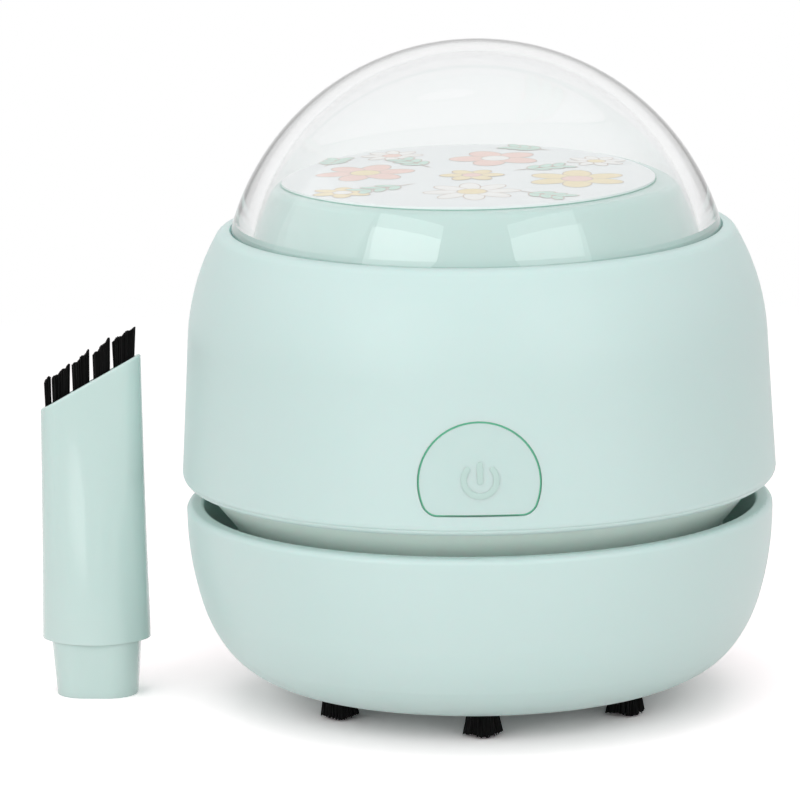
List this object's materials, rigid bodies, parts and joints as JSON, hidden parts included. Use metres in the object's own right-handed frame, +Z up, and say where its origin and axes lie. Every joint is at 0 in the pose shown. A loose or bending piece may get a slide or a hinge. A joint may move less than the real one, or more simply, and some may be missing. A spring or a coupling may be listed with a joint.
{
  "type": "desktop mini vacuum cleaner",
  "caption": "Drum-shaped desktop mini vacuum cleaner with clear dome, front power button, exhaust slot, dust bowl on bristle tufts, and a separate brush nozzle.",
  "frame": {"origin": "on the floor under the cleaner's own vertical axis, in the plane of its tuft tips", "axes": "+Z up along the fan's axis, -Y towards the power button, -X towards the nozzle"},
  "size_m": [0.1076, 0.0862, 0.0968],
  "materials": {
    "mint_shell": "satin moulded ABS",
    "mint_gloss": "polished moulded ABS",
    "mint_button": "satin moulded ABS",
    "clear_styrene": "clear polished polystyrene",
    "card_print": "coated printed card",
    "white_inner": "off-white moulded ABS",
    "nylon_bristle": "black nylon bristle",
    "filter_cloth": "woven nylon mesh",
    "silicone_seal": "grey silicone",
    "zinc_steel": "zinc-plated steel",
    "motor_case": "drawn nickel-plated steel",
    "cell_can": "shrink-sleeved can",
    "board_laminate": "solder-masked laminate",
    "switch_black": "black moulded nylon",
    "lead_sleeve": "soft PVC"
  },
  "bodies": {
    "base": {"dust_bowl": "mint_shell", "bowl_collar": "white_inner", "inlet_duct": "white_inner", "base_tufts": "nylon_bristle"},
    "motor_unit": {"fan_housing": "white_inner", "seal_ring": "silicone_seal", "fan_eye_plate": "white_inner", "filter_frame": "white_inner", "filter_mesh": "filter_cloth", "motor_can": "motor_case", "motor_screws": "zinc_steel", "case_screws": "zinc_steel", "upper_housing": "mint_shell", "display_plinth": "mint_gloss", "clear_dome": "clear_styrene", "display_card": "card_print", "tact_switch": "switch_black", "control_board": "board_laminate", "battery_cell": "cell_can", "battery_cradle": "white_inner", "charging_port": "zinc_steel", "charge_board": "board_laminate", "motor_leads": "lead_sleeve", "battery_leads": "lead_sleeve"},
    "button": {"power_button": "mint_button", "switch_plunger": "switch_black"},
    "rotor": {"impeller": "switch_black", "motor_shaft": "zinc_steel"},
    "nozzle": {"nozzle_body": "mint_gloss", "nozzle_spigot": "mint_shell", "nozzle_tufts": "nylon_bristle"}
  },
  "joints": [
    {"name": "motor_unit_lift", "type": "slide", "parent": "base", "child": "motor_unit", "axis": [0, 0, 1], "range_m": [0, 0.06]},
    {"name": "power_button_press", "type": "slide", "parent": "motor_unit", "child": "button", "axis": [0, 1, 0], "range_m": [0, 0.0006], "stiffness_N_per_m": 1500, "springref_m": -0.0003},
    {"name": "fan_spin", "type": "hinge", "parent": "motor_unit", "child": "rotor", "pos_m": [0, 0, 0.025], "axis": [0, 0, 1], "continuous": true},
    {"name": "nozzle_lift", "type": "slide", "parent": "base", "child": "nozzle", "axis": [0, 0, 1], "range_m": [0, 0.06]}
  ]
}
